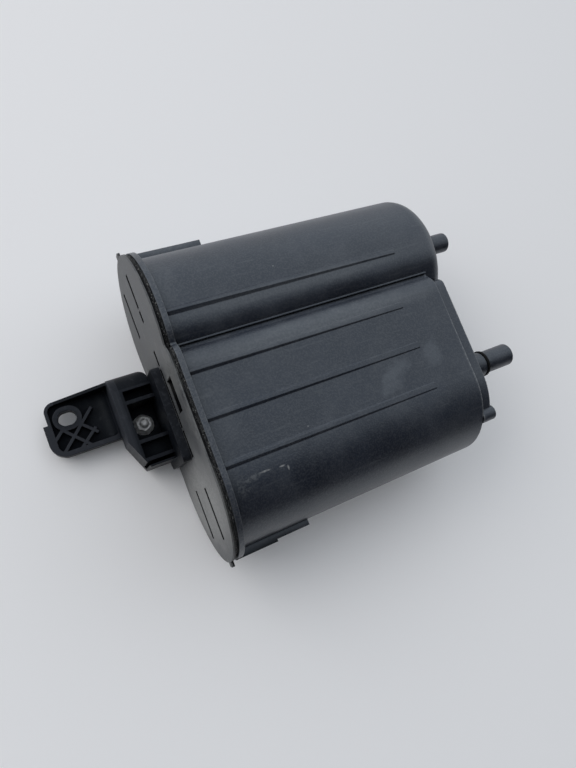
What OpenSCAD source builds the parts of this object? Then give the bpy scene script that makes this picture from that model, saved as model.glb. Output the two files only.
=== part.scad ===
// Charcoal canister with its cap, mounting bracket and filling, in millimetres.
// X runs from the cap to the hose nipples, Y towards the round side lobe, and Z is up.
// It lies on its flat side, with the origin under the middle of its box.

/* [Housing] */
// Length of the main lobe, from the cap's face to its end
main_len = 140; // [110:1:180]
// How far the side lobe reaches past the main lobe
side_extra = 13; // [10:1:20]
// Height of both lobes
body_h = 68; // [62:1:80]
// Width across both lobes
body_w = 143; // [138:1:170]
// Distance of the main lobe's shoulder in the valley from the side lobe's middle
valley_off = 17.2; // [16:0.2:20]
// Rounding of the main lobe's shoulder beside the valley
corner_r = 10; // [9.6:0.2:12]
// Fillet in the floor of the valley
valley_r = 4; // [3:0.2:5]
// Thickness of the outer walls
wall = 2.5; // [1.8:0.1:3]
// Rounding of the main lobe's end
main_edge_r = 1; // [0.8:0.1:2]
// Rounding of the side lobe's end
side_edge_r = 9; // [6:0.5:12]
// Thickness of the wall between the two chambers
partition_t = 2.2; // [1.6:0.1:3]
// Where that wall begins, from the cap's face
partition_x = 14; // [10:0.5:20]

/* [Ribs and rails] */
// Places of the ribs across the flat of the main lobe, as shares of its width from the valley
main_rib_share = [0.065, 0.504, 0.944];
// Y of the rib on the side lobe, from the lobe's middle
side_rib_off = -2.8; // [-8:0.1:8]
// Width of a rib's top
rib_w = 0.8; // [0.5:0.1:2]
// Height of a rib at the flange
rib_h = 1.1; // [0.4:0.1:2]
// Width of a rib's sloping sides at the flange
rib_side = 1.3; // [0.6:0.1:2]
// Share of its height that a rib has left at its far end
rib_end = 0.3; // [0.1:0.05:0.6]
// Where the ribs of the main lobe end
main_rib_x = 116; // [80:1:118]
// Where the rib of the side lobe ends
side_rib_x = 124; // [80:1:126]
// Width of the ridge in the valley
ridge_w = 0.8; // [0.6:0.1:1.6]
// Height of the ridge above the valley's floor
ridge_h = 1.2; // [0.6:0.1:3]
// Length of the rails along the sides, from the cap's face
rail_x = 41; // [26:1:60]
// Length of the deep part of the front rail
rail_step_x = 24; // [12:1:25]
// Height of the rails above the middle
rail_z = 4; // [-6:0.5:6]
// Thickness of a rail
rail_t = 2.4; // [1.6:0.1:4]
// How far a rail stands out
rail_out = 3.5; // [2.6:0.1:5]
// How far the slim end of the front rail stands out
rail_slim_out = 2.4; // [1.5:0.1:2.5]

/* [Weld flange] */
// How far the flange stands out from the lobes
flange_out = 3.5; // [3:0.1:5]
// Distance of the flange's shoulder in the valley from the side lobe's middle
flange_valley_off = 16; // [14:0.5:18]
// Rounding of the flange's shoulder
flange_corner_r = 7.5; // [6:0.5:9]
// Fillet of the flange in the valley
flange_valley_r = 1.2; // [0.6:0.1:2]
// Thickness of the flange
flange_t = 2.6; // [2:0.1:4]
// Thickness of the weld bead
bead_t = 1.6; // [0.5:0.1:2.5]
// How far the bead lies inside the flange's edge
bead_in = 1.3; // [0.8:0.1:2]

/* [End cap] */
// Thickness of the cap's rim
cap_rim_t = 1.4; // [1.2:0.1:3]
// How far the small tabs at both ends of the cap stand out
tab_out = 2; // [1:0.1:3]
// Height of a tab
tab_h = 4; // [2:0.5:6]
// Height of the grooves in the cap's face
groove_w = 3.2; // [1:0.1:4]
// Depth of the grooves in the cap's face
groove_d = 1.2; // [0.6:0.1:1.6]
// Height of the upper grooves above the middle
groove_up = 10; // [9.5:0.5:12]
// Depth of the lower grooves below the middle
groove_down = 14; // [10:0.5:18]
// Length of a groove near the ends of the cap
groove_len = 24; // [16:1:28]
// How far the grooves' outer ends lie inside the sides of the lobes
groove_in = 7.5; // [5:0.5:11]
// Width of the bridges across the grooves
bridge_w = 1.3; // [0.8:0.1:3]
// Place of the bridge across the upper groove of the side lobe, from its outer end
bridge_at = 17; // [4:1:20]
// Ends of the groove above the bracket and its two bridges, as Y
mid_groove_y = [26, 18.5, -11.5, -25.5];
// Width of the latch pocket
latch_w = 16; // [10:1:20]
// Height of the latch pocket
latch_h = 11; // [6:0.5:12]
// Depth of the latch pocket
latch_d = 6.5; // [4:0.5:9]
// Middle of the latch pocket, Y and Z from the middle of the cap
latch_at = [2, 19];
// Wall behind the latch pocket
latch_wall = 1.6; // [1.2:0.1:2]

/* [End pad and nipples] */
// How far the pad stands out from the main lobe's end
pad_t = 7; // [4:0.5:9]
// How far the pad's outline lies inside the main lobe's
pad_in = 2.4; // [2:0.1:5]
// How far the pad's back side lies inside the main lobe's wall
pad_back_in = 4.8; // [4:0.2:7]
// Rounding of the pad's corners at the back
pad_r = 4; // [3.5:0.5:6]
// Rounding of the pad's edge
pad_edge_r = 1.5; // [0.6:0.1:2]
// Flat front of the pad, from the middle of the round side
pad_front_off = 22.7; // [20:0.1:25]
// Middle of the lugs on the pad's front, Y and height from the middle of the round side
lug_at = [-20, 23.6];
// Rounding of a lug
lug_r = 3.8; // [2.8:0.1:4]
// How far the lugs stand out from the pad's face
lug_up = 0.8; // [0.5:0.1:2]
// Rounding of a lug's edge
lug_edge_r = 0.6; // [0.2:0.1:0.8]
// Height of both nipples above the middle
port_z = 17; // [8:0.5:18]
// Y of the nipple on the main lobe, from the middle of the round side
main_port_off = 4.8; // [-6:0.1:20]
// Y of the nipple on the side lobe, from the lobe's middle
side_port_off = -0.5; // [-5:0.1:5]
// Outside of the nipple on the main lobe
main_nipple_d = 11.8; // [9:0.1:12.4]
// Outside of the nipple on the side lobe
side_nipple_d = 10.4; // [8:0.1:11]
// Wall of the nipples
nipple_wall = 1.8; // [1.4:0.1:2.4]
// Length of the nipple on the main lobe
main_nipple_len = 19; // [10:0.5:24]
// Length of the nipple on the side lobe
side_nipple_len = 15.5; // [10:0.5:24]
// Rounding of a nipple's tip
tip_r = 1; // [0.4:0.1:1.4]
// How far the boss under the main nipple stands out from the ring's seat
boss_out = 0.4; // [0.3:0.05:1]
// Length of that boss
boss_len = 11; // [6:0.5:20]
// Rounding of the boss's edge
boss_edge_r = 0.4; // [0.2:0.1:0.8]
// How far the rubber ring's seat at the root of the main nipple stands out from it
ring_seat_t = 0.2; // [0.15:0.05:0.6]
// How far the rubber ring stands out from its seat
ring_out = 0.8; // [0.5:0.1:1.5]
// Thickness of the rubber ring
ring_t = 1.6; // [0.8:0.1:2.5]

/* [Mounting bracket] */
// Thickness of the plate on the cap
plate_t = 4; // [3:0.5:6]
// Y of the plate's back end
plate_back = 19.5; // [18:0.5:21]
// Y of the plate's front end
plate_front = -26; // [-32:0.5:-24]
// Top of the plate above the middle
plate_top = 7; // [2:0.5:8]
// Rounding of the plate's corners
plate_r = 3; // [1:0.5:5]
// Depth of the bracket's underside below the middle
bracket_low = 33; // [30:0.5:34]
// Top of the ribbed box, below the middle
box_low = 7.5; // [6:0.5:12]
// How far the ribbed box stands out from the cap
box_out = 22.5; // [21:0.5:28]
// Y of the box's back side
box_back = 25; // [24:0.5:27]
// Y of the box's front side
box_front = -22; // [-23.5:0.5:-21.5]
// Thickness of the box's outer wall
box_wall = 5; // [3:0.5:6]
// Cut-off corner of the box: along X and along Y
box_cut = [6, 14.5];
// Rounding of the box's back
box_round = 10.5; // [6:0.5:10.5]
// Rounding of the box's outer top edge
box_edge_r = 3; // [1:0.5:3]
// Thickness of the ribs in the box
box_rib_t = 1.8; // [1.2:0.1:2.4]
// Y of the ribs in the box
box_rib_y = [16.5, 10, -9.5, -18.4];
// Depth of the box's pockets, between one rib and the next
pocket_d = [8, 18.5, 6, 20];
// Reach of the foot from the cap
foot_out = 55.4; // [54:0.1:66]
// How much shorter the back half of the foot is
foot_step = 2.2; // [0.5:0.1:3]
// Y of that step
foot_step_y = 14.5; // [12:0.5:17]
// Y of the foot's front side
foot_front = -2.6; // [-6:0.1:-0.5]
// Height of the foot's rim
foot_h = 6; // [4:0.5:8]
// Thickness of the foot's floor
foot_floor = 2.5; // [2:0.1:3.5]
// Width of the rim at the foot's front side
foot_rim = 2.4; // [1.6:0.1:5]
// Width of the rim on the other sides
foot_edge = 1.6; // [1.2:0.1:3]
// Rounding of the foot's back corner
foot_r = 5; // [3:0.5:7]
// Rounding of the foot's front corner
foot_front_r = 8; // [5:0.5:9]
// How far the wall along the foot's back ends below the round of the box
gusset_low = 0.8; // [0.4:0.1:4]
// Rounding of the bend between foot and box
bend_r = 7; // [3:0.5:9]
// Width of the ribs in the foot
foot_rib_t = 1.5; // [0.8:0.1:2]
// Ends of the ribs in the foot, each as distance from the cap and Y
foot_ribs = [
    [[54.5, 4.2], [46.9, 11]],
    [[50.3, -0.9], [31.7, 17.2]],
    [[41.6, -0.7], [32.6, 7]],
    [[48.2, 11], [37, -0.8]],
    [[39.2, 11], [32.2, 4.2]]
];
// Length of the oval hole
hole_len = 8.8; // [7.4:0.1:11]
// Width of the oval hole
hole_w = 7.2; // [5:0.1:7.2]
// Wall of the collar round the hole
collar_t = 2.4; // [1.4:0.1:3]
// Middle of the hole from the cap, and its Y
hole_at = [43.8, 15.4];

/* [Stud, washer and nut] */
// Diameter of the stud
stud_d = 4; // [3:0.1:5]
// Middle of the stud from the cap
stud_out = 11.3; // [10:0.1:12.5]
// Height of the stud above the pocket's floor
stud_h = 8; // [6.5:0.5:12]
// Head of the stud: diameter and thickness
stud_head = [8, 1.6];
// Washer: diameter and thickness
washer = [10.4, 1];
// Flange nut: diameter of the flange, its thickness, and height of the whole nut
nut = [9.4, 1.2, 4];
// Hexagon of the nut across its flats
nut_flats = 7; // [6.6:0.1:8]
// Room round the stud in its holes
stud_room = 0.05; // [0.02:0.01:0.1]

/* [Filling] */
// Length of the springs between cap and pressure plate
spring_len = 19; // [14:0.5:26]
// Mean diameter of the springs
spring_d = 18; // [14:0.5:19]
// Wire of the springs
spring_wire = 1.6; // [1.2:0.1:2]
// Turns of a spring
spring_turns = 5; // [4:1:6]
// Y of the main chamber's springs, from the middle of the round side
main_spring_off = [-4.5, 31.5];
// Y of the side chamber's spring, from the lobe's middle
side_spring_off = 7.5; // [6:0.5:9.5]
// Posts inside the cap that hold the springs: diameter and length
spring_post = [11, 5];
// Thickness of the pressure plates
press_t = 3; // [2:0.5:5]
// Thickness of the foam pads
foam_t = 5; // [3:0.5:10]
// Thickness of the port grids
grid_t = 3; // [2:0.5:5]
// Feet of the side chamber's grid: diameter and length
grid_foot = [5, 4];
// Slots in plates and grids: width and spacing
slot = [3, 7];
// Margin left round the slots
slot_margin = 7; // [5:0.5:10]
// Room between the filling and the chamber walls
room = 0.2; // [0.1:0.05:0.5]

/* [Hidden] */
$fn = 64;
lobe_r = body_h / 2;
lobe_y = body_w / 2 - lobe_r;
valley_y = lobe_y - valley_off;
corner_y = valley_y - corner_r;
corner_z = lobe_r - corner_r;
flange_r = lobe_r + flange_out;
flange_corner_y = lobe_y - flange_valley_off - flange_corner_r;
flange_corner_z = flange_r - flange_corner_r;
big = 2 * (body_w + body_h);
eps = 0.01;
// How far the valley's fillets bite into the rounds that they join
bite = 0.03;

// X of the faces along the length
flange_x = cap_rim_t + bead_t;
flange_end = flange_x + flange_t;
side_len = main_len + side_extra;
main_in = main_len - wall;
side_in = side_len - wall;
pad_end = main_len + pad_t;
pad_half = lobe_r - pad_in;
pad_back = valley_y - pad_back_in;
pad_corner = pad_back - pad_r;
pad_flat = pad_half - pad_r;
pad_front = -lobe_y - pad_front_off;
boss_end = pad_end + boss_len;
press_x = flange_x + spring_len;
foam_x = press_x + press_t;
carbon_x = foam_x + foam_t;
main_grid_x = main_in - grid_t;
side_grid_x = side_in - grid_foot[1] - grid_t;

// Y of ribs, grooves, nipples and springs
main_rib_y = [for (share = main_rib_share) corner_y - share * (corner_y + lobe_y)];
side_rib_y = lobe_y + side_rib_off;
groove_y = body_w / 2 - groove_in;
lug_y = lug_at[0] - lobe_y;
main_port_y = main_port_off - lobe_y;
side_port_y = lobe_y + side_port_off;
ring_seat_d = main_nipple_d + 2 * ring_seat_t;
main_spring_y = [for (off = main_spring_off) off - lobe_y];
side_spring_y = lobe_y + side_spring_off;

// Z of the bracket's levels
box_top = -box_low;
stud_floor = box_top - pocket_d[1];
mid_groove_z = plate_top + (groove_w + bridge_w) / 2;

// Steps of a spring's turn, sides of its wire, and pitch of its closed end turns
spring_steps = 16;
wire_sides = 8;
end_pitch = 1.06 * spring_wire;
// Feet of the side chamber's grid: how far from its middle, and the directions
grid_foot_at = 0.3 * lobe_r;
grid_foot_turn = [30, 150, 270];

// Box of the whole part, for the origin
x_low = -foot_out;
x_high = max(boss_end + main_nipple_len, side_len + side_nipple_len);
lie_z = lobe_r + flange_out;

// Where a circle of radius r rests in the valley, touching a round shoulder and a round lobe
function valley_spot(corner, shoulder_r, round_r, r) =
    let (near = shoulder_r + r - bite)
    let (far = round_r + r - bite)
    let (span = [lobe_y, 0] - corner)
    let (dist = norm(span))
    let (along = (near * near - far * far + dist * dist) / (2 * dist))
    let (up = sqrt(near * near - along * along))
    corner + span * along / dist + [-span[1], span[0]] * up / dist;

valley_mid = valley_spot([corner_y, corner_z], corner_r, lobe_r, valley_r);
partition_y = valley_mid[0];
partition_front = partition_y - partition_t / 2;
partition_back = partition_y + partition_t / 2;

// From the cap's own frame to the frame of the part
module in_frame() {
    translate([-(x_low + x_high) / 2, 0, lie_z]) children();
}

// A flat outline in Y and Z, drawn out along X
module along_x(x0, x1) {
    translate([x0, 0, 0]) rotate([90, 0, 90]) linear_extrude(x1 - x0) children();
}

// A flat outline in X and Z, drawn out along Y
module along_y(y0, y1) {
    translate([0, y1, 0]) rotate([90, 0, 0]) linear_extrude(y1 - y0) children();
}

// A profile of radius and X, turned about a line along X
module about_x(y, z) {
    translate([0, y, z]) rotate([0, 90, 0]) rotate_extrude() children();
}

// Rectangle with round corners
module round_rect(low, high, r) {
    translate([low[0] + r, low[1]]) square([high[0] - low[0] - 2 * r, high[1] - low[1]]);
    translate([low[0], low[1] + r]) square([high[0] - low[0], high[1] - low[1] - 2 * r]);
    for (a = [low[0] + r, high[0] - r], b = [low[1] + r, high[1] - r]) translate([a, b]) circle(r);
}

// Corner left over outside a quarter circle, for rounding an edge
module corner_waste(r) {
    difference() {
        square(r + eps);
        circle(r);
    }
}

// Rod along X with its far edge rounded
module soft_rod(r, x0, x1, edge) {
    translate([0, x0]) square([r, x1 - x0 - edge]);
    translate([0, x0]) square([r - edge, x1 - x0]);
    translate([r - edge, x1 - edge]) circle(edge);
}

// Side view of a slab with its far edges rounded
module soft_slab(half_h, x0, x1, edge) {
    translate([x0, -half_h]) square([x1 - x0 - edge, 2 * half_h]);
    translate([x0, -half_h + edge]) square([x1 - x0, 2 * (half_h - edge)]);
    for (side = [-1, 1]) translate([x1 - edge, side * (half_h - edge)]) circle(edge);
}

// Filler between main lobe and side lobe, with a round valley floor
module valley_fill(corner, shoulder_r, round_r, r) {
    spot = valley_spot(corner, shoulder_r, round_r, r);
    to_lobe = [lobe_y, 0] - spot;
    to_corner = corner - spot;
    difference() {
        polygon([
            spot, spot + r * to_lobe / norm(to_lobe), [lobe_y, 0], [corner[0], 0], corner,
            spot + r * to_corner / norm(to_corner)
        ]);
        translate(spot) circle(r);
    }
}

// Outline of the flange without its valley fillets, less some distance, seen along X
module flange_lobes(inside) {
    half = flange_r - inside;
    translate([lobe_y, 0]) circle(half);
    translate([-lobe_y, 0]) circle(half);
    translate([-lobe_y, -half]) square([lobe_y + flange_corner_y, 2 * half]);
    for (z = [-flange_corner_z, flange_corner_z])
        translate([flange_corner_y, z]) circle(flange_corner_r - inside);
}

module flange_outline() {
    flange_lobes(0);
    for (side = [0, 1]) mirror([0, side])
        valley_fill([flange_corner_y, flange_corner_z], flange_corner_r, flange_r, flange_valley_r);
}

// Inside of the main lobe, up to the partition
module main_chamber(inside) {
    half = lobe_r - wall - inside;
    low_half = valley_mid[1] - valley_r - wall - inside;
    shoulder = corner_r - wall - inside;
    translate([-lobe_y, 0]) circle(half);
    translate([-lobe_y, -half]) square([lobe_y + corner_y, 2 * half]);
    if (shoulder > 0) for (z = [-corner_z, corner_z]) translate([corner_y, z]) circle(shoulder);
    translate([-lobe_y, -low_half]) square([lobe_y + partition_front - inside, 2 * low_half]);
}

// Inside of the side lobe, up to the partition
module side_chamber(inside) {
    intersection() {
        translate([lobe_y, 0]) circle(lobe_r - wall - inside);
        translate([partition_back + inside, -big / 2]) square(big);
    }
}

// Inside of both lobes, where the partition is left out
module inner_outline(inside) {
    main_chamber(inside);
    translate([lobe_y, 0]) circle(lobe_r - wall - inside);
}

// Slots in rows about a middle Y, inside an outline
module slots(y) {
    count = floor(body_w / slot[1]);
    intersection() {
        for (i = [-count:count]) translate([y + i * slot[1], -body_h]) square([slot[0], 2 * body_h]);
        children();
    }
}

// An outline with rows of slots about a middle Y, left whole along its middle height
module slotted(y) {
    difference() {
        children(0);
        difference() {
            slots(y) children(1);
            translate([-big / 2, -slot[0] / 2]) square([big, slot[0]]);
        }
    }
}

// A rib along X with sloping sides, lower towards the ports
module fading_rib(y, z, x1) {
    top = z + rib_h;
    root = z - rib_h;
    half = rib_w / 2;
    wide = half + 2 * rib_side;
    intersection() {
        along_y(y - wide, y + wide)
            polygon([[flange_x, root], [flange_x, top], [x1, z + rib_end * rib_h], [x1, root]]);
        along_x(flange_x, x1) translate([y, 0])
            polygon([[-wide, root], [-half, top], [half, top], [wide, root]]);
    }
}

module ribs() {
    for (y = main_rib_y) fading_rib(y, lobe_r, main_rib_x);
    fading_rib(side_rib_y, sqrt(lobe_r * lobe_r - pow(side_rib_y - lobe_y, 2)), side_rib_x);
    along_x(flange_x, main_len - main_edge_r)
        translate([partition_y - ridge_w / 2, valley_mid[1] - valley_r - wall / 2])
            square([ridge_w, ridge_h + wall / 2]);
}

module rails() {
    half_w = body_w / 2;
    low = rail_z - rail_t / 2;
    along_x(flange_x, rail_x)
        translate([-half_w - rail_slim_out, low]) square([body_w + rail_slim_out + rail_out, rail_t]);
    along_x(flange_x, rail_step_x) translate([-half_w - rail_out, low]) square([half_w, rail_t]);
}

module main_lobe() {
    about_x(-lobe_y, 0) soft_rod(lobe_r, flange_x, main_len, main_edge_r);
    along_y(-lobe_y, corner_y) soft_slab(lobe_r, flange_x, main_len, main_edge_r);
    for (z = [-corner_z, corner_z]) about_x(corner_y, z) soft_rod(corner_r, flange_x, main_len, main_edge_r);
    along_x(flange_x, main_len - main_edge_r) for (side = [0, 1]) mirror([0, side])
        valley_fill([corner_y, corner_z], corner_r, lobe_r, valley_r);
}

// Pad on the end of the main lobe, flat at its front, with its lugs
module end_pad() {
    difference() {
        about_x(-lobe_y, 0) soft_rod(pad_half, main_in, pad_end, pad_edge_r);
        translate([main_in - eps, pad_front - big, -big / 2]) cube(big);
    }
    along_y(-lobe_y, pad_corner) soft_slab(pad_half, main_in, pad_end, pad_edge_r);
    for (z = [-pad_flat, pad_flat]) about_x(pad_corner, z) soft_rod(pad_r, main_in, pad_end, pad_edge_r);
    translate([main_in, pad_corner, -pad_flat]) {
        cube([pad_end - pad_edge_r - main_in, pad_r, 2 * pad_flat]);
        cube([pad_end - main_in, pad_r - pad_edge_r, 2 * pad_flat]);
    }
    translate([pad_end - pad_edge_r, pad_back - pad_edge_r, -pad_flat])
        cylinder(2 * pad_flat, r = pad_edge_r);
    for (z = [-lug_at[1], lug_at[1]])
        about_x(lug_y, z) soft_rod(lug_r, main_len - main_edge_r / 2, pad_end + lug_up, lug_edge_r);
}

// Inside of the pad, seen along X
module pad_hollow() {
    half = pad_half - wall;
    intersection() {
        translate([-lobe_y, 0]) circle(half);
        translate([pad_front + wall, -big / 2]) square(big);
    }
    translate([-lobe_y, -half]) square([lobe_y + pad_corner, 2 * half]);
    translate([-lobe_y, -pad_flat]) square([lobe_y + pad_back - wall, 2 * pad_flat]);
}

module main_nipple() {
    about_x(main_port_y, port_z) {
        soft_rod(ring_seat_d / 2 + boss_out, main_in, boss_end, boss_edge_r);
        translate([0, main_in]) square([ring_seat_d / 2, boss_end + ring_t - main_in]);
        soft_rod(main_nipple_d / 2, main_in, boss_end + main_nipple_len, tip_r);
    }
}

module side_nipple() {
    about_x(side_port_y, port_z) soft_rod(side_nipple_d / 2, side_in, side_len + side_nipple_len, tip_r);
}

module bores() {
    about_x(main_port_y, port_z) translate([0, main_in]) square([main_nipple_d / 2 - nipple_wall, big]);
    about_x(side_port_y, port_z) translate([0, side_in - eps]) square([side_nipple_d / 2 - nipple_wall, big]);
}

module chambers() {
    along_x(flange_x - eps, partition_x) inner_outline(0);
    along_x(partition_x - eps, main_in) main_chamber(0);
    intersection() {
        about_x(lobe_y, 0) soft_rod(lobe_r - wall, partition_x - eps, side_in, side_edge_r - wall);
        translate([0, partition_back, -big / 2]) cube(big);
    }
    along_x(main_in - eps, pad_end - wall) pad_hollow();
}

module canister_body() {
    color("#3a3d42") in_frame() difference() {
        union() {
            main_lobe();
            about_x(lobe_y, 0) soft_rod(lobe_r, flange_x, side_len, side_edge_r);
            along_x(flange_x, flange_end) flange_outline();
            end_pad();
            for (side = [0, 1]) mirror([0, 0, side]) ribs();
            rails();
            main_nipple();
            side_nipple();
        }
        chambers();
        bores();
    }
}

module weld_bead() {
    color("#34363a") in_frame() along_x(cap_rim_t, flange_x) difference() {
        flange_lobes(bead_in);
        inner_outline(0);
    }
}

module groove(y0, y1, z) {
    translate([-eps, y0, z - groove_w / 2]) cube([groove_d + eps, y1 - y0, groove_w]);
}

module cap_grooves() {
    inner = groove_y - groove_len;
    bridge = groove_y - bridge_at;
    groove(bridge, groove_y, groove_up);
    groove(inner, bridge - bridge_w, groove_up);
    groove(-groove_y, -inner, groove_up);
    groove(mid_groove_y[1], mid_groove_y[0], mid_groove_z);
    groove(mid_groove_y[2], mid_groove_y[1] - bridge_w, mid_groove_z);
    groove(mid_groove_y[3], mid_groove_y[2] - bridge_w, mid_groove_z);
    for (side = [0, 1]) mirror([0, side, 0]) groove(inner, groove_y, -groove_down);
}

module latch_box(y_more, x0, x1) {
    along_x(x0, x1) translate(latch_at - [latch_w / 2 + y_more, latch_h / 2 + y_more])
        square([latch_w + 2 * y_more, latch_h + 2 * y_more]);
}

module end_cap() {
    tab_y = body_w / 2 + flange_out + tab_out;
    color("#4a4d52") in_frame() difference() {
        union() {
            along_x(0, cap_rim_t) flange_outline();
            along_x(0, flange_x) inner_outline(room);
            latch_box(latch_wall, 0, latch_d + latch_wall);
            for (y = concat(main_spring_y, side_spring_y))
                about_x(y, 0) square([spring_post[0] / 2, flange_x + spring_post[1]]);
            translate([0, -tab_y, rail_z - tab_h / 2]) cube([cap_rim_t, 2 * tab_y, tab_h]);
        }
        cap_grooves();
        latch_box(0, -eps, latch_d);
    }
}

// Outline of the oval hole, seen from above
module oval(grow) {
    straight = hole_len - hole_w;
    translate([-straight / 2, -hole_w / 2 - grow]) square([straight, hole_w + 2 * grow]);
    for (side = [-1, 1]) translate([side * straight / 2, 0]) circle(hole_w / 2 + grow);
}

// The box beside the cap plate, seen from above
module box_outline() {
    polygon([
        [-plate_t, box_back], [-box_out, box_back], [-box_out, box_front + box_cut[1]],
        [-box_out + box_cut[0], box_front], [-plate_t, box_front]
    ]);
}

module bracket_box() {
    corner = box_back - plate_back;
    difference() {
        translate([0, 0, -bracket_low]) linear_extrude(bracket_low + box_top) box_outline();
        along_x(-box_out - eps, eps)
            translate([box_back - box_round, box_top - box_round]) corner_waste(box_round);
        along_y(-big / 2, box_back + eps)
            translate([-box_out + box_edge_r, box_top - box_edge_r]) mirror([1, 0]) corner_waste(box_edge_r);
        translate([-plate_t - corner, plate_back, -bracket_low - eps])
            linear_extrude(bracket_low) corner_waste(corner);
        box_pockets();
    }
}

module box_pockets() {
    edges = concat(box_rib_y, [box_front]);
    half = box_rib_t / 2;
    for (i = [0:len(pocket_d) - 1])
        translate([-box_out + box_wall, edges[i + 1] + half, box_top - pocket_d[i]])
            cube([box_out - box_wall - plate_t, edges[i] - edges[i + 1] - box_rib_t, pocket_d[i] + eps]);
}

// The tray of the foot, seen from above
module foot_tray() {
    low = [-foot_out + foot_step + foot_edge, foot_front + foot_rim];
    round_rect(low, [-box_out, box_back - foot_edge], foot_r - foot_edge);
}

// The ribs in that tray, seen from above
module foot_struts() {
    for (ends = foot_ribs) {
        start = [-ends[0][0], ends[0][1]];
        span = [-ends[1][0], ends[1][1]] - start;
        translate(start) rotate(atan2(span[1], span[0])) translate([0, -foot_rib_t / 2])
            square([norm(span), foot_rib_t]);
    }
}

// The foot, seen from above
module foot_outline() {
    round_rect([-foot_out + foot_step, foot_front], [-box_out + box_wall, box_back], foot_r);
    intersection() {
        round_rect([-foot_out, foot_front], [-box_out, box_back], foot_front_r);
        translate([-foot_out, foot_front]) square([foot_out, foot_step_y - foot_front]);
    }
}

module bracket_foot() {
    at_hole = [-hole_at[0], hole_at[1]];
    translate([0, 0, -bracket_low]) difference() {
        linear_extrude(foot_h) foot_outline();
        translate([0, 0, foot_floor]) linear_extrude(foot_h) difference() {
            foot_tray();
            foot_struts();
            translate(at_hole) oval(collar_t);
        }
        translate([0, 0, -eps]) linear_extrude(foot_h + 2 * eps) translate(at_hole) oval(0);
    }
}

// Round bend between the foot and the box
module foot_bend() {
    along_y(foot_front, box_back) translate([-box_out - bend_r, -bracket_low + foot_floor]) difference() {
        square([bend_r + box_wall / 2, bend_r]);
        translate([0, bend_r]) circle(bend_r);
    }
}

// Wall along the foot's back, which rises to the box
module foot_gusset() {
    rim = foot_h - bracket_low;
    inside = -box_out + box_wall / 2;
    along_y(box_back - foot_edge, box_back) polygon([
        [-foot_out + foot_step + foot_r, rim], [-box_out, box_top - box_round - gusset_low],
        [inside, box_top - box_round - gusset_low], [inside, rim - foot_edge],
        [-foot_out + foot_step + foot_r, rim - foot_edge]
    ]);
}

module mounting_bracket() {
    color("#1d1e21") in_frame() difference() {
        union() {
            along_x(-plate_t, 0) round_rect([plate_front, -bracket_low], [plate_back, plate_top], plate_r);
            bracket_box();
            bracket_foot();
            foot_bend();
            foot_gusset();
        }
        translate([-stud_out, 0, -bracket_low - eps]) {
            cylinder(bracket_low, d = stud_d + 2 * stud_room);
            cylinder(stud_head[1] + eps, d = stud_head[0] + 2 * stud_room);
        }
    }
}

module bracket_stud() {
    color("#b9bcc0") in_frame() translate([-stud_out, 0, -bracket_low]) {
        cylinder(stud_head[1], d = stud_head[0]);
        cylinder(stud_floor + stud_h + bracket_low, d = stud_d);
    }
}

module stud_washer() {
    color("#c9ccd0") in_frame() translate([-stud_out, 0, stud_floor]) difference() {
        cylinder(washer[1], d = washer[0]);
        translate([0, 0, -eps]) cylinder(washer[1] + 2 * eps, d = stud_d + 2 * stud_room);
    }
}

module flange_nut() {
    color("#d2d4d8") in_frame() translate([-stud_out, 0, stud_floor + washer[1]]) difference() {
        union() {
            cylinder(nut[1], d = nut[0]);
            cylinder(nut[2], d = nut_flats / cos(30), $fn = 6);
        }
        translate([0, 0, -eps]) cylinder(nut[2] + 2 * eps, d = stud_d + 2 * stud_room);
    }
}

module port_ring() {
    color("#101113") in_frame() about_x(main_port_y, port_z) translate([ring_seat_d / 2, boss_end])
        square([ring_out, ring_t]);
}

module main_block(x0, x1) {
    in_frame() along_x(x0, x1) main_chamber(room);
}

module side_block(x0, x1) {
    in_frame() along_x(x0, x1) side_chamber(room);
}

module main_sieve(x0, x1) {
    in_frame() along_x(x0, x1) slotted(-lobe_y) {
        main_chamber(room);
        main_chamber(slot_margin);
    }
}

module main_grid() {
    color("#26282b") main_sieve(main_grid_x, main_in);
}

module main_port_foam() {
    color("#5d6064") main_block(main_grid_x - foam_t, main_grid_x);
}

module main_carbon() {
    color("#141414") main_block(carbon_x, main_grid_x - foam_t);
}

module main_cap_foam() {
    color("#5d6064") main_block(foam_x, carbon_x);
}

module main_press_plate() {
    color("#26282b") main_sieve(press_x, foam_x);
}

module side_grid() {
    color("#26282b") {
        in_frame() along_x(side_grid_x, side_grid_x + grid_t) slotted(lobe_y) {
            side_chamber(side_edge_r / 2);
            side_chamber(slot_margin + side_edge_r / 2);
        }
        in_frame() for (turn = grid_foot_turn)
            about_x(lobe_y + grid_foot_at * cos(turn), grid_foot_at * sin(turn)) translate([0, side_grid_x])
                square([grid_foot[0] / 2, grid_t + grid_foot[1]]);
    }
}

module side_port_foam() {
    color("#5d6064") side_block(side_grid_x - foam_t, side_grid_x);
}

module side_carbon() {
    color("#141414") side_block(carbon_x, side_grid_x - foam_t);
}

module side_cap_foam() {
    color("#5d6064") side_block(foam_x, carbon_x);
}

module side_press_plate() {
    color("#26282b") in_frame() along_x(press_x, foam_x) slotted(lobe_y) {
        side_chamber(room);
        side_chamber(slot_margin);
    }
}

// X along a spring after a number of turns, with its end turns closed
function spring_x(turn) =
    let (low = spring_wire / 2 + end_pitch)
    let (high = spring_len - low)
    turn < 1 ? spring_wire / 2 + turn * end_pitch
    : turn > spring_turns - 1 ? high + (turn - spring_turns + 1) * end_pitch
    : low + (high - low) * (turn - 1) / (spring_turns - 2);

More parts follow.
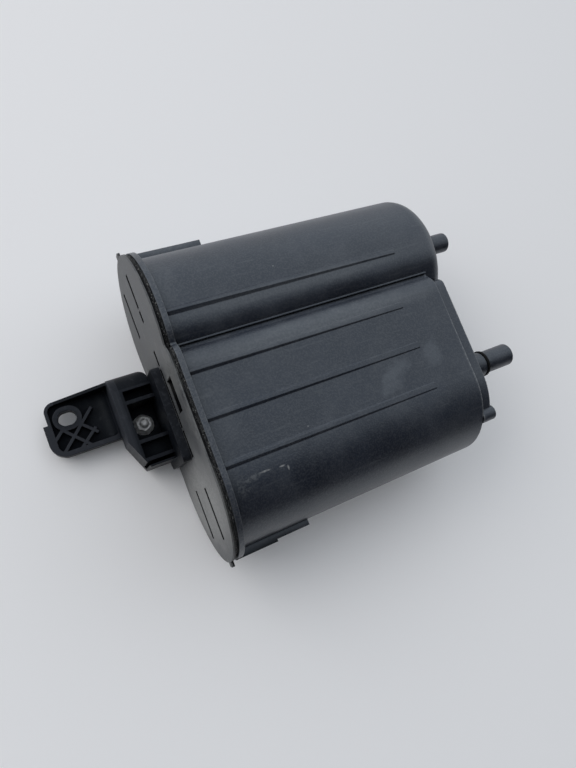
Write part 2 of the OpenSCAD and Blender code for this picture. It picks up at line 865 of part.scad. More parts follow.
// Coil spring along X
module coil(y) {
    rings = spring_steps * spring_turns;
    points = [
        for (i = [0:rings], k = [0:wire_sides - 1])
            let (turn = i / spring_steps)
            let (radius = spring_d / 2 + spring_wire / 2 * cos(360 * k / wire_sides))
            [
                spring_x(turn) + spring_wire / 2 * sin(360 * k / wire_sides),
                radius * cos(360 * turn),
                radius * sin(360 * turn)
            ]
    ];
    skin = [
        for (i = [0:rings - 1], k = [0:wire_sides - 1])
            let (here = i * wire_sides)
            let (next = here + (k + 1) % wire_sides)
            each [
                [here + k, next, next + wire_sides],
                [here + k, next + wire_sides, here + k + wire_sides]
            ]
    ];
    first = [for (k = [0:wire_sides - 1]) wire_sides - 1 - k];
    last = [for (k = [0:wire_sides - 1]) rings * wire_sides + k];
    color("#a9adb2") in_frame() translate([flange_x, y, 0]) polyhedron(points, concat(skin, [first, last]));
}

module main_spring_a() {
    coil(main_spring_y[0]);
}

module main_spring_b() {
    coil(main_spring_y[1]);
}

module side_spring() {
    coil(side_spring_y);
}

canister_body();
weld_bead();
end_cap();
mounting_bracket();
bracket_stud();
stud_washer();
flange_nut();
port_ring();
main_grid();
main_port_foam();
main_carbon();
main_cap_foam();
main_press_plate();
main_spring_a();
main_spring_b();
side_grid();
side_port_foam();
side_carbon();
side_cap_foam();
side_press_plate();
side_spring();
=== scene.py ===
import bpy
import bmesh
import math
from mathutils import Matrix, Vector


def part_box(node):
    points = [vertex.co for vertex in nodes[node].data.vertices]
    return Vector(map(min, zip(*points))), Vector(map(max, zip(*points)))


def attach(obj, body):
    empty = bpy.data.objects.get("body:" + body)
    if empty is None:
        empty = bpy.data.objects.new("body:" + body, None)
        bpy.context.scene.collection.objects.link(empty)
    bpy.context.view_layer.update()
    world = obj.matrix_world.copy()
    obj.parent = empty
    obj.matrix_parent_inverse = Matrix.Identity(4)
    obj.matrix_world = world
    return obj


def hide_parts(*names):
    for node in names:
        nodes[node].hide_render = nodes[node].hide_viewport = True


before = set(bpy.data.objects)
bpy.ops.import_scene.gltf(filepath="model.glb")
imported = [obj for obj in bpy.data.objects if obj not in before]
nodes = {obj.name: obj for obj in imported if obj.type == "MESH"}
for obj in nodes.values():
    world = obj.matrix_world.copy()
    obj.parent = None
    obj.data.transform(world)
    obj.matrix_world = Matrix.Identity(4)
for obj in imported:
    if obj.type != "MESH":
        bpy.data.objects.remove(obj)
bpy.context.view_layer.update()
scene = bpy.context.scene
scene.view_settings.view_transform = "Standard"
print("frame loaded with", len(nodes), "nodes")


# camera where the photograph was taken, looking down over the cap end
cameraView = {
    "place": (-0.107615, -0.038038, 0.305198),
    "right": (0.879642, -0.364554, 0.3055),
    "up": (0.304639, 0.925085, 0.226744),
    "back": (-0.365274, -0.106386, 0.924801),
    "lens": 27.05,
    "sensor": 36.0,
    "nearest": 0.01,
}


def makeCamera(view):
    data = bpy.data.cameras.new("photoCamera")
    data.sensor_fit = "AUTO"
    data.sensor_width = view["sensor"]
    data.lens = view["lens"]
    data.clip_start = view["nearest"]
    cam = bpy.data.objects.new("photoCamera", data)
    turn = Matrix((view["right"], view["up"], view["back"])).transposed()
    cam.matrix_world = Matrix.Translation(view["place"]) @ turn.to_4x4()
    scene.collection.objects.link(cam)
    scene.camera = cam
    print("camera placed")


makeCamera(cameraView)


# small helpers for node trees
def addNode(tree, kind, **values):
    node = tree.nodes.new(kind)
    for name, value in values.items():
        setattr(node, name, value)
    return node


def feed(tree, socket, value):
    if isinstance(value, bpy.types.NodeSocket):
        tree.links.new(value, socket)
    else:
        socket.default_value = value


def mathNode(tree, operation, *values, clamp=False):
    node = addNode(tree, "ShaderNodeMath", operation=operation, use_clamp=clamp)
    for socket, value in zip(node.inputs, values):
        feed(tree, socket, value)
    return node.outputs[0]


def vectorNode(tree, operation, first, second=None):
    node = addNode(tree, "ShaderNodeVectorMath", operation=operation)
    feed(tree, node.inputs[0], first)
    if second is not None:
        feed(tree, node.inputs["Scale" if operation == "SCALE" else 1], second)
    return node.outputs["Value" if operation in ("LENGTH", "DOT_PRODUCT") else "Vector"]


def noiseNode(tree, coords, scale, detail=2.0, roughness=0.5):
    node = addNode(tree, "ShaderNodeTexNoise")
    for label, value in (("Vector", coords), ("Scale", scale), ("Detail", detail), ("Roughness", roughness)):
        feed(tree, node.inputs[label], value)
    return node.outputs


def rampNode(tree, value, low, high, toLow=0.0, toHigh=1.0):
    node = addNode(tree, "ShaderNodeMapRange", interpolation_type="SMOOTHSTEP")
    ends = (("From Min", low), ("From Max", high), ("To Min", toLow), ("To Max", toHigh))
    for label, amount in (("Value", value), *ends):
        feed(tree, node.inputs[label], amount)
    return node.outputs["Result"]


def mixColour(tree, mask, first, second):
    node = addNode(tree, "ShaderNodeMix", data_type="RGBA")
    feed(tree, node.inputs[0], mask)
    for slot, value in ((6, first), (7, second)):    # the Mix node's two colour sockets
        feed(tree, node.inputs[slot], (*value, 1.0) if isinstance(value, tuple) else value)
    return node.outputs[2]


def objectCoords(tree):
    return addNode(tree, "ShaderNodeTexCoord").outputs["Object"]


socketKinds = {tuple: "NodeSocketVector", float: "NodeSocketFloat", int: "NodeSocketInt"}


def addInputs(tree, inputs):
    for label, value in inputs.items():
        socket = tree.interface.new_socket(label, in_out="INPUT", socket_type=socketKinds[type(value)])
        socket.default_value = value


def newGroup(name, inputs, outputs):
    group = bpy.data.node_groups.new(name, "ShaderNodeTree")
    addInputs(group, inputs)
    for label in outputs:
        group.interface.new_socket(label, in_out="OUTPUT", socket_type="NodeSocketFloat")
    return group, group.nodes.new("NodeGroupInput").outputs, group.nodes.new("NodeGroupOutput").inputs


def useGroup(tree, group, **values):
    node = addNode(tree, "ShaderNodeGroup", node_tree=group)
    for label, value in values.items():
        node.inputs[label].default_value = value
    return node.outputs


# grain and slow waviness of a moulded plastic skin
grainNoise = {"fineDetail": 2.0, "slowDetail": 3.0}


def makeMouldGrain(noise):
    group, given, put = newGroup("mouldGrain", {"Grain": 0.0006, "Wave": 0.02}, ("Height", "Tone"))
    coords = objectCoords(group)
    for size, detail, label in (("Grain", "fineDetail", "Height"), ("Wave", "slowDetail", "Tone")):
        scale = mathNode(group, "DIVIDE", 1.0, given[size])
        group.links.new(noiseNode(group, coords, scale, noise[detail])["Fac"], put[label])
    return group


# thin dust that lies in patches, more of it on faces that look up
dustNoise = {"detail": 6.0, "roughness": 0.65, "fade": (0.42, 0.72)}


def makeDustFilm(noise):
    group, given, put = newGroup("dustFilm", {"Patch": 0.012, "Amount": 0.5, "Sides": 0.3}, ("Mask",))
    scale = mathNode(group, "DIVIDE", 1.0, given["Patch"])
    patch = noiseNode(group, objectCoords(group), scale, noise["detail"], noise["roughness"])
    split = addNode(group, "ShaderNodeSeparateXYZ")
    group.links.new(addNode(group, "ShaderNodeNewGeometry").outputs["Normal"], split.inputs[0])
    upward = mathNode(group, "MAXIMUM", split.outputs["Z"], given["Sides"])
    film = mathNode(group, "MULTIPLY", rampNode(group, patch["Fac"], *noise["fade"]), upward)
    group.links.new(mathNode(group, "MULTIPLY", film, given["Amount"], clamp=True), put["Mask"])
    return group


# one ragged mark at a place on the surface
markNoise = {"raggedScale": 140.0, "speckScale": 900.0, "detail": 4.0, "gaps": (0.62, 0.42), "fade": (1.0, 0.35)}


def makePlacedMark(noise):
    group, given, put = newGroup("placedMark", {
        "Place": (0.0, 0.0, 0.0), "Reach": (0.01, 0.01, 0.01), "Ragged": 0.004, "Speckle": 0.0}, ("Mask",))
    coords = objectCoords(group)
    specks = noiseNode(group, coords, noise["speckScale"], noise["detail"])
    gaps = mathNode(group, "MULTIPLY", rampNode(group, specks["Fac"], *noise["gaps"]), given["Speckle"])
    ragged = noiseNode(group, coords, noise["raggedScale"], noise["detail"])
    push = vectorNode(group, "SUBTRACT", ragged["Color"], (0.5, 0.5, 0.5))
    place = vectorNode(group, "ADD", vectorNode(group, "SCALE", push, given["Ragged"]), coords)
    away = vectorNode(group, "DIVIDE", vectorNode(group, "SUBTRACT", place, given["Place"]), given["Reach"])
    spot = rampNode(group, vectorNode(group, "LENGTH", away), *noise["fade"])
    group.links.new(mathNode(group, "MULTIPLY", spot, mathNode(group, "SUBTRACT", 1.0, gaps)), put["Mask"])
    return group


# fine rubbing marks drawn out along the length
rubNoise = {"detail": 3.0, "fade": (0.6, 0.74)}


def makeRubMarks(noise):
    group, given, put = newGroup("rubMarks", {"Stretch": (60.0, 700.0, 700.0), "Amount": 0.5}, ("Mask",))
    stretched = vectorNode(group, "MULTIPLY", objectCoords(group), given["Stretch"])
    lines = rampNode(group, noiseNode(group, stretched, 1.0, noise["detail"])["Fac"], *noise["fade"])
    group.links.new(mathNode(group, "MULTIPLY", lines, given["Amount"], clamp=True), put["Mask"])
    return group


# a band between two places along a direction, in specks or all over: wear and dust, and also painted highlights and
# painted shade
bandNoise = {"detail": 5.0, "roughness": 0.7, "fade": (0.42, 0.68)}


def makeWearAndPaintedLightBand(noise):
    group, given, put = newGroup("wearAndPaintedLightBand", {
        "Along": (1.0, 0.0, 0.0), "Low": 0.0, "High": 0.01, "Speck": 0.001, "Fill": 0.0, "Amount": 0.5}, ("Mask",))
    coords = objectCoords(group)
    scale = mathNode(group, "DIVIDE", 1.0, given["Speck"])
    specks = noiseNode(group, coords, scale, noise["detail"], noise["roughness"])
    reach = vectorNode(group, "DOT_PRODUCT", coords, given["Along"])
    inside = mathNode(group, "MULTIPLY", mathNode(group, "GREATER_THAN", reach, given["Low"]),
                      mathNode(group, "LESS_THAN", reach, given["High"]))
    filled = mathNode(group, "MAXIMUM", rampNode(group, specks["Fac"], *noise["fade"]), given["Fill"])
    band = mathNode(group, "MULTIPLY", filled, inside)
    group.links.new(mathNode(group, "MULTIPLY", band, given["Amount"], clamp=True), put["Mask"])
    return group


# painted shade: darker where a surface lies in a groove or a corner, from ambient occlusion
creviceShadeCover = {"samples": 8, "fade": (0.85, 0.45)}


def makeCreviceShade(paintedShade):
    group, given, put = newGroup("creviceShade", {"Reach": 0.002, "Amount": 0.8}, ("Mask",))
    cover = addNode(group, "ShaderNodeAmbientOcclusion", samples=paintedShade["samples"], only_local=True)
    group.links.new(given["Reach"], cover.inputs["Distance"])
    deep = rampNode(group, cover.outputs["AO"], *paintedShade["fade"])
    group.links.new(mathNode(group, "MULTIPLY", deep, given["Amount"]), put["Mask"])
    return group


# a low swell along the length, as a height across Y
swellPlace = {"start": 0.018, "top": 0.0265, "end": 0.0375}


def makeSwell(place):
    group, given, put = newGroup("swell", {"Rise": 0.0}, ("Height",))
    split = addNode(group, "ShaderNodeSeparateXYZ")
    group.links.new(objectCoords(group), split.inputs[0])
    up = rampNode(group, split.outputs["Y"], place["start"], place["top"])
    down = rampNode(group, split.outputs["Y"], place["end"], place["top"])
    hill = mathNode(group, "MULTIPLY", up, down)
    group.links.new(mathNode(group, "MULTIPLY", hill, given["Rise"]), put["Height"])
    return group


mouldGrain = makeMouldGrain(grainNoise)
dustFilm = makeDustFilm(dustNoise)
placedMark = makePlacedMark(markNoise)
rubMarks = makeRubMarks(rubNoise)
wearAndPaintedLightBand = makeWearAndPaintedLightBand(bandNoise)
creviceShade = makeCreviceShade(creviceShadeCover)
swell = makeSwell(swellPlace)
print("shader groups ready")


def newMaterial(name, roughness):
    material = bpy.data.materials.new(name)
    material.use_nodes = True
    tree = material.node_tree
    shader = tree.nodes["Principled BSDF"]
    shader.inputs["Roughness"].default_value = roughness
    return material, tree, shader


edgeSamples = 6    # rays that round off an edge in the shading


def addBump(tree, shader, height, strength, depth, under=None, edge=0.0):
    bump = addNode(tree, "ShaderNodeBump")
    bump.inputs["Strength"].default_value = strength
    bump.inputs["Distance"].default_value = depth
    tree.links.new(height, bump.inputs["Height"])
    inner = bump
    if under:
        inner = addNode(tree, "ShaderNodeBump")
        inner.inputs["Distance"].default_value = 1.0
        tree.links.new(under, inner.inputs["Height"])
        tree.links.new(inner.outputs["Normal"], bump.inputs["Normal"])
    if edge:
        soft = addNode(tree, "ShaderNodeBevel", samples=edgeSamples)
        soft.inputs["Radius"].default_value = edge
        tree.links.new(soft.outputs["Normal"], inner.inputs["Normal"])
    tree.links.new(bump.outputs["Normal"], shader.inputs["Normal"])


# moulded plastic with grain, slow tone changes, dust and rubbing, and painted shade in grooves, for the housing,
# cap and bracket
plasticMix = {"tone": (0.3, 0.7), "flecks": (0.42, 0.66), "roughTone": 0.12, "roughDust": 0.25}


def plasticFinish(name, finish):
    material, tree, shader = newMaterial(name, finish["roughness"])
    shader.inputs["Specular IOR Level"].default_value = finish["gloss"]
    shader.inputs["Specular Tint"].default_value = (*finish["tint"], 1.0)
    grain = useGroup(tree, mouldGrain, Grain=finish["grain"], Wave=finish["wave"])
    dust = useGroup(tree, dustFilm, Patch=finish["patch"], Amount=finish["dust"], Sides=finish["sides"])["Mask"]
    rubs = useGroup(tree, rubMarks, Stretch=finish["rubStretch"], Amount=finish["rubs"])["Mask"]
    # painted shade in grooves and corners
    paintedShade = useGroup(tree, creviceShade, Reach=finish["creviceShadeReach"], Amount=finish["creviceShadeAmount"])["Mask"]
    colour = mixColour(tree, rampNode(tree, grain["Tone"], *plasticMix["tone"]), finish["dark"], finish["light"])
    flecks = mathNode(tree, "MULTIPLY", rampNode(tree, grain["Height"], *plasticMix["flecks"]), finish["flecks"])
    colour = mixColour(tree, flecks, colour, finish["fleckColour"])
    colour = mixColour(tree, rubs, colour, finish["rubColour"])
    colour = mixColour(tree, dust, colour, finish["dustColour"])
    layers = [(useGroup(tree, wearAndPaintedLightBand, **band["mask"])["Mask"], 1.0, band) for band in finish.get("bands", ())]
    for mark in finish.get("marks", ()):
        spot = useGroup(tree, placedMark, Place=mark["place"], Reach=mark["reach"], Ragged=mark["ragged"],
                        Speckle=mark.get("speckle", 0.0))
        layers.append((spot["Mask"], mark["amount"], mark))
    matt = paintedShade
    for mask, amount, layer in layers:
        colour = mixColour(tree, mathNode(tree, "MULTIPLY", mask, amount), colour, layer["colour"])
        if "matt" in layer:
            matt = mathNode(tree, "MAXIMUM", matt, mathNode(tree, "MULTIPLY", mask, layer["matt"]))
    # painted shade: grooves and corners go near black
    colour = mixColour(tree, paintedShade, colour, finish["creviceShadeColour"])
    tree.links.new(colour, shader.inputs["Base Color"])
    tree.links.new(matt, shader.inputs["Metallic"])    # black and metallic, so the painted shade in grooves and hollows has no gloss
    change = plasticMix["roughTone"]
    rough = mathNode(tree, "MULTIPLY_ADD", grain["Tone"], change, finish["roughness"] - change / 2)
    rough = mathNode(tree, "ADD", rough, mathNode(tree, "MULTIPLY", dust, plasticMix["roughDust"]))
    tree.links.new(rough, shader.inputs["Roughness"])
    under = useGroup(tree, swell, Rise=finish["swell"])["Height"] if "swell" in finish else None
    addBump(tree, shader, grain["Height"], finish["bump"], finish["bumpDepth"], under, finish["edge"])
    return material


housingFinish = {
    "dark": (0.0065, 0.0095, 0.018),
    "light": (0.0095, 0.0135, 0.0245),
    "roughness": 0.36,
    "gloss": 0.8,
    "tint": (0.88, 0.94, 1.0),
    "edge": 0.0004,
    "grain": 0.0008,
    "flecks": 0.55,
    "fleckColour": (0.042, 0.045, 0.053),
    "wave": 0.022,
    "bump": 0.5,
    "bumpDepth": 0.00016,
    "patch": 0.016,
    "dust": 0.24,
    "sides": 0.15,
    "dustColour": (0.075, 0.08, 0.09),
    "rubStretch": (45.0, 620.0, 620.0),
    "rubs": 0.45,
    "rubColour": (0.05, 0.054, 0.063),
    # painted shade in grooves and corners: amount, reach and colour
    "creviceShadeAmount": 0.95,
    "creviceShadeReach": 0.002,
    "creviceShadeColour": (0.003, 0.0035, 0.005),
    "swell": 0.001,
    "bands": (
        {"mask": {"Low": -0.0579, "High": -0.0551, "Speck": 0.001, "Amount": 0.45}, "colour": (0.11, 0.112, 0.116)},
        # pale lines at both edges of the flange: partly wear, partly a painted highlight on the edges
        {"mask": {"Low": -0.0579, "High": -0.0575, "Speck": 0.003, "Fill": 0.4, "Amount": 0.35},
         "colour": (0.14, 0.142, 0.145)},
        {"mask": {"Low": -0.0556, "High": -0.0551, "Speck": 0.003, "Fill": 0.4, "Amount": 0.35},
         "colour": (0.14, 0.142, 0.145)},
    ),
    "marks": (
        {"place": (0.0325, -0.0265, 0.0715), "reach": (0.0095, 0.0065, 0.008), "ragged": 0.012,
         "speckle": 0.25, "amount": 0.62, "colour": (0.072, 0.08, 0.094)},
        {"place": (0.0395, -0.0215, 0.0715), "reach": (0.009, 0.0065, 0.008), "ragged": 0.012,
         "speckle": 0.25, "amount": 0.62, "colour": (0.072, 0.08, 0.094)},
        {"place": (0.0605, -0.0195, 0.0715), "reach": (0.008, 0.0075, 0.008), "ragged": 0.012,
         "speckle": 0.25, "amount": 0.55, "colour": (0.072, 0.08, 0.094)},
        {"place": (-0.0506, -0.046, 0.0715), "reach": (0.0045, 0.0065, 0.006), "ragged": 0.006,
         "speckle": 0.9, "amount": 0.5, "colour": (0.09, 0.094, 0.1)},
        {"place": (-0.0446, -0.0431, 0.0715), "reach": (0.0055, 0.0018, 0.004), "ragged": 0.003,
         "speckle": 0.8, "amount": 0.65, "colour": (0.11, 0.115, 0.12)},
        {"place": (-0.039, -0.0426, 0.0715), "reach": (0.0035, 0.0006, 0.003), "ragged": 0.001,
         "speckle": 0.4, "amount": 0.9, "colour": (0.22, 0.22, 0.22)},
        {"place": (-0.0312, -0.0432, 0.0715), "reach": (0.0018, 0.0005, 0.003), "ragged": 0.0006,
         "amount": 0.9, "colour": (0.24, 0.24, 0.24)},
        {"place": (-0.0287, -0.0448, 0.0715), "reach": (0.0006, 0.0016, 0.003), "ragged": 0.0006,
         "amount": 0.9, "colour": (0.22, 0.22, 0.22)},
        # pale band along the main lobe beside the valley: partly dust, partly painted light
        {"place": (0.01, 0.0105, 0.068), "reach": (0.09, 0.0062, 0.02), "ragged": 0.005,
         "speckle": 0.35, "amount": 0.85, "colour": (0.08, 0.086, 0.096)},
        # pale band along the side lobe beside the valley: painted light, with dust specks
        {"place": (0.005, 0.0315, 0.0715), "reach": (0.085, 0.0045, 0.02), "ragged": 0.005,
         "speckle": 0.4, "amount": 0.7, "colour": (0.07, 0.075, 0.084)},
        # front rail: painted shadow, dark and without gloss
        {"place": (-0.037, -0.0762, 0.0415), "reach": (0.042, 0.0055, 0.006), "ragged": 0.001,
         "amount": 1.0, "colour": (0.005, 0.0055, 0.007), "matt": 0.7},
        # back rail: painted highlight, with dust specks
        {"place": (-0.037, 0.0762, 0.0415), "reach": (0.03, 0.0045, 0.005), "ragged": 0.001,
         "speckle": 0.3, "amount": 0.8, "colour": (0.1, 0.105, 0.115)},
        # thin pale line at the main lobe's end edge: painted highlight, broken into specks
        {"place": (0.0788, -0.034, 0.06), "reach": (0.0013, 0.05, 0.05), "ragged": 0.0008,
         "speckle": 0.7, "amount": 0.75, "colour": (0.18, 0.185, 0.19)},
        {"place": (-0.047, -0.008, 0.0715), "reach": (0.008, 0.014, 0.01), "ragged": 0.012,
         "speckle": 0.9, "amount": 0.3, "colour": (0.06, 0.064, 0.07)},
        {"place": (-0.05, 0.048, 0.0715), "reach": (0.006, 0.016, 0.012), "ragged": 0.012,
         "speckle": 0.9, "amount": 0.3, "colour": (0.06, 0.064, 0.07)},
        {"place": (-0.0138, -0.0314, 0.0715), "reach": (0.0006, 0.0005, 0.002), "ragged": 0.0006,
         "amount": 0.6, "colour": (0.2, 0.2, 0.2)},
        {"place": (-0.0007, 0.0426, 0.0711), "reach": (0.0006, 0.0005, 0.002), "ragged": 0.0006,
         "amount": 0.5, "colour": (0.2, 0.2, 0.2)},
    ),
}

capFinish = {
    "dark": (0.032, 0.034, 0.038),
    "light": (0.048, 0.05, 0.053),
    "roughness": 0.46,
    "gloss": 0.5,
    "tint": (1.0, 1.0, 1.0),
    "edge": 0.0003,
    "grain": 0.0008,
    "flecks": 0.4,
    "fleckColour": (0.085, 0.086, 0.086),
    "wave": 0.012,
    "bump": 0.3,
    "bumpDepth": 0.0001,
    "patch": 0.011,
    "dust": 0.62,
    "sides": 0.75,
    "dustColour": (0.16, 0.16, 0.155),
    "rubStretch": (500.0, 90.0, 300.0),
    "rubs": 0.5,
    "rubColour": (0.12, 0.12, 0.118),
    # painted shade in grooves and corners: amount, reach and colour
    "creviceShadeAmount": 1.0,
    "creviceShadeReach": 0.004,
    "creviceShadeColour": (0.002, 0.002, 0.0025),
    "bands": (
        # everything deeper than the cap's face: painted shade, black and without gloss
        {"mask": {"Low": -0.0601, "High": 0.0, "Fill": 1.0, "Amount": 0.94}, "colour": (0.004, 0.004, 0.005),
         "matt": 1.0},
    ),
    "marks": (
        # large pale patch on the lower part of the cap face: partly dust, partly painted light
        {"place": (-0.0608, -0.047, 0.034), "reach": (0.03, 0.027, 0.06), "ragged": 0.012,
         "speckle": 0.3, "amount": 0.9, "colour": (0.23, 0.228, 0.22)},
        {"place": (-0.0608, 0.009, 0.064), "reach": (0.03, 0.012, 0.02), "ragged": 0.01,
         "speckle": 0.5, "amount": 0.5, "colour": (0.18, 0.18, 0.17)},
    ),
}

bracketFinish = {
    "dark": (0.0022, 0.0028, 0.0045),
    "light": (0.004, 0.005, 0.0075),
    "roughness": 0.42,
    "gloss": 0.11,
    "tint": (0.86, 0.93, 1.0),
    "edge": 0.0005,
    "grain": 0.0006,
    "flecks": 0.3,
    "fleckColour": (0.012, 0.013, 0.016),
    "wave": 0.01,
    "bump": 0.2,
    "bumpDepth": 0.00008,
    "patch": 0.007,
    "dust": 0.1,
    "sides": 0.2,
    "dustColour": (0.045, 0.046, 0.05),
    "rubStretch": (260.0, 260.0, 120.0),
    "rubs": 0.35,
    "rubColour": (0.035, 0.036, 0.04),
    # painted shade in grooves and corners: amount, reach and colour
    "creviceShadeAmount": 0.7,
    "creviceShadeReach": 0.006,
    "creviceShadeColour": (0.0015, 0.0017, 0.0025),
    "bands": (
        # paler top of the foot's rim and top edge of the box: painted highlights, broken into specks
        {"mask": {"Along": (0, 0, 1), "Low": 0.0103, "High": 0.0106, "Speck": 0.003, "Fill": 0.7, "Amount": 0.85},
         "colour": (0.042, 0.044, 0.052)},
        {"mask": {"Along": (0, 0, 1), "Low": 0.0297, "High": 0.0302, "Speck": 0.003, "Fill": 0.5, "Amount": 0.8},
         "colour": (0.022, 0.024, 0.03)},
        # paler outer face and outer top edge of the box: painted highlights, broken into specks
        {"mask": {"Along": (1, 0, 0), "Low": -0.0836, "High": -0.0797, "Speck": 0.003, "Fill": 0.6, "Amount": 0.8},
         "colour": (0.03, 0.032, 0.039)},
        {"mask": {"Along": (1, 0, 0), "Low": -0.0836, "High": -0.0829, "Speck": 0.003, "Fill": 0.6, "Amount": 0.85},
         "colour": (0.042, 0.045, 0.053)},
        {"mask": {"Along": (1, 0, 0), "Low": -0.0648, "High": -0.0608, "Speck": 0.002, "Fill": 0.35, "Amount": 0.6},
         "colour": (0.05, 0.053, 0.062)},
    ),
    "marks": (
        {"place": (-0.1049, 0.015, 0.0105), "reach": (0.0095, 0.0085, 0.006), "ragged": 0.002,
         "speckle": 0.3, "amount": 0.85, "colour": (0.008, 0.009, 0.012)},
    ),
}

flashFinish = {
    "dark": (0.011, 0.0115, 0.013),
    "light": (0.036, 0.036, 0.038),
    "roughness": 0.7,
    "gloss": 0.3,
    "tint": (1.0, 1.0, 1.0),
    "edge": 0.0,
    "grain": 0.0004,
    "flecks": 0.4,
    "fleckColour": (0.09, 0.09, 0.088),
    "wave": 0.0016,
    "bump": 0.6,
    "bumpDepth": 0.0002,
    "patch": 0.003,
    "dust": 0.4,
    "sides": 0.6,
    "dustColour": (0.08, 0.078, 0.074),
    "rubStretch": (300.0, 300.0, 300.0),
    "rubs": 0.3,
    "rubColour": (0.07, 0.07, 0.07),
    # painted shade in grooves and corners: amount, reach and colour
    "creviceShadeAmount": 0.6,
    "creviceShadeReach": 0.0008,
    "creviceShadeColour": (0.004, 0.004, 0.005),
}

crumbFinish = dict(flashFinish, dark=(0.03, 0.03, 0.031), light=(0.3, 0.295, 0.28), wave=0.0007, creviceShadeAmount=0.0)
innerFinish = dict(bracketFinish, bands=(), marks=(), dark=(0.02, 0.02, 0.022), light=(0.03, 0.03, 0.032),
                   roughness=0.5)

housingPlastic = plasticFinish("housingPlastic", housingFinish)
capPlastic = plasticFinish("capPlastic", capFinish)
bracketPlastic = plasticFinish("bracketPlastic", bracketFinish)
weldFlashPlastic = plasticFinish("weldFlashPlastic", flashFinish)
crumbPlastic = plasticFinish("crumbPlastic", crumbFinish)
innerPlastic = plasticFinish("innerPlastic", innerFinish)


# zinc plating gone dull in clouds, and drawn spring wire
metalSkin = {"clouds": (0.35, 0.65), "rougher": 0.2, "bump": 0.2, "bumpDepth": 0.00005}


def metalFinish(name, finish):
    material, tree, shader = newMaterial(name, finish["roughness"])
    cloud = useGroup(tree, mouldGrain, Grain=finish["grain"], Wave=finish["wave"])
    dull = rampNode(tree, cloud["Tone"], *metalSkin["clouds"])
    rough = (finish["roughness"], finish["roughness"] + metalSkin["rougher"])
    tree.links.new(mixColour(tree, dull, finish["bright"], finish["dull"]), shader.inputs["Base Color"])
    tree.links.new(rampNode(tree, dull, 0.0, 1.0, *finish["metal"]), shader.inputs["Metallic"])
    tree.links.new(rampNode(tree, dull, 0.0, 1.0, *rough), shader.inputs["Roughness"])
    addBump(tree, shader, cloud["Height"], metalSkin["bump"], metalSkin["bumpDepth"])
    return material


zincPlate = metalFinish("zincPlate", {
    "bright": (0.8, 0.79, 0.78), "dull": (0.72, 0.71, 0.7), "metal": (0.4, 0.0), "roughness": 0.36,
    "grain": 0.0004, "wave": 0.0016})
springWire = metalFinish("springWire", {
    "bright": (0.42, 0.42, 0.43), "dull": (0.3, 0.3, 0.31), "metal": (1.0, 0.9), "roughness": 0.35,
    "grain": 0.0003, "wave": 0.004})


# rubber, open foam and packed charcoal: a dark skin over a rough height
cellSkin = {"fade": (0.1, 0.8), "depth": 0.4}    # depth as a share of the cell


def grainyFinish(name, finish):
    material, tree, shader = newMaterial(name, finish["roughness"])
    shader.inputs["Specular IOR Level"].default_value = finish["gloss"]
    cells = addNode(tree, "ShaderNodeTexVoronoi")
    cells.inputs["Scale"].default_value = 1.0 / finish["cell"]
    tree.links.new(objectCoords(tree), cells.inputs["Vector"])
    shade = rampNode(tree, cells.outputs["Distance"], *cellSkin["fade"])
    tree.links.new(mixColour(tree, shade, finish["light"], finish["dark"]), shader.inputs["Base Color"])
    addBump(tree, shader, cells.outputs["Distance"], finish["bump"], finish["cell"] * cellSkin["depth"])
    return material


sealRubber = grainyFinish("sealRubber", {
    "dark": (0.004, 0.004, 0.004), "light": (0.008, 0.008, 0.008), "roughness": 0.6, "gloss": 0.08, "cell": 0.0005,
    "bump": 0.1})
openFoam = grainyFinish("openFoam", {
    "dark": (0.03, 0.03, 0.032), "light": (0.14, 0.14, 0.145), "roughness": 0.9, "gloss": 0.2, "cell": 0.0012,
    "bump": 0.6})
packedCharcoal = grainyFinish("packedCharcoal", {
    "dark": (0.003, 0.003, 0.003), "light": (0.02, 0.02, 0.02), "roughness": 0.75, "gloss": 0.3, "cell": 0.002,
    "bump": 0.9})
print("materials ready")


nodeFinish = {
    "canister_body": housingPlastic,
    "weld_bead": weldFlashPlastic,
    "end_cap": capPlastic,
    "mounting_bracket": bracketPlastic,
    "bracket_stud": zincPlate,
    "stud_washer": zincPlate,
    "flange_nut": zincPlate,
    "port_ring": sealRubber,
    "main_grid": innerPlastic,
    "main_press_plate": innerPlastic,
    "side_grid": innerPlastic,
    "side_press_plate": innerPlastic,
    "main_port_foam": openFoam,
    "main_cap_foam": openFoam,
    "side_port_foam": openFoam,
    "side_cap_foam": openFoam,
    "main_carbon": packedCharcoal,
    "side_carbon": packedCharcoal,
    "main_spring_a": springWire,
    "main_spring_b": springWire,
    "side_spring": springWire,
}
for name, material in nodeFinish.items():
    nodes[name].data.materials.clear()
    nodes[name].data.materials.append(material)
print("node finishes set")


def keepPiece(name, mesh, material, replaced=()):
    piece = bpy.data.objects.new(name, mesh)
    mesh.materials.clear()
    mesh.materials.append(material)
    scene.collection.objects.link(piece)
    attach(piece, "root")
    if replaced:
        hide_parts(*replaced)
    return piece


# outline of the weld, the same arcs as the flange but further in, as Y and Z about the middle height
weldPath = {
    "lobeY": 0.0375,
    "lobeR": 0.0362,
    "cornerY": 0.014,
    "cornerZ": 0.03,
    "cornerR": 0.0062,
    "middleZ": 0.0375,
    "x": -0.0586,
    "step": 0.002,
    "fewestSteps": 4,
}


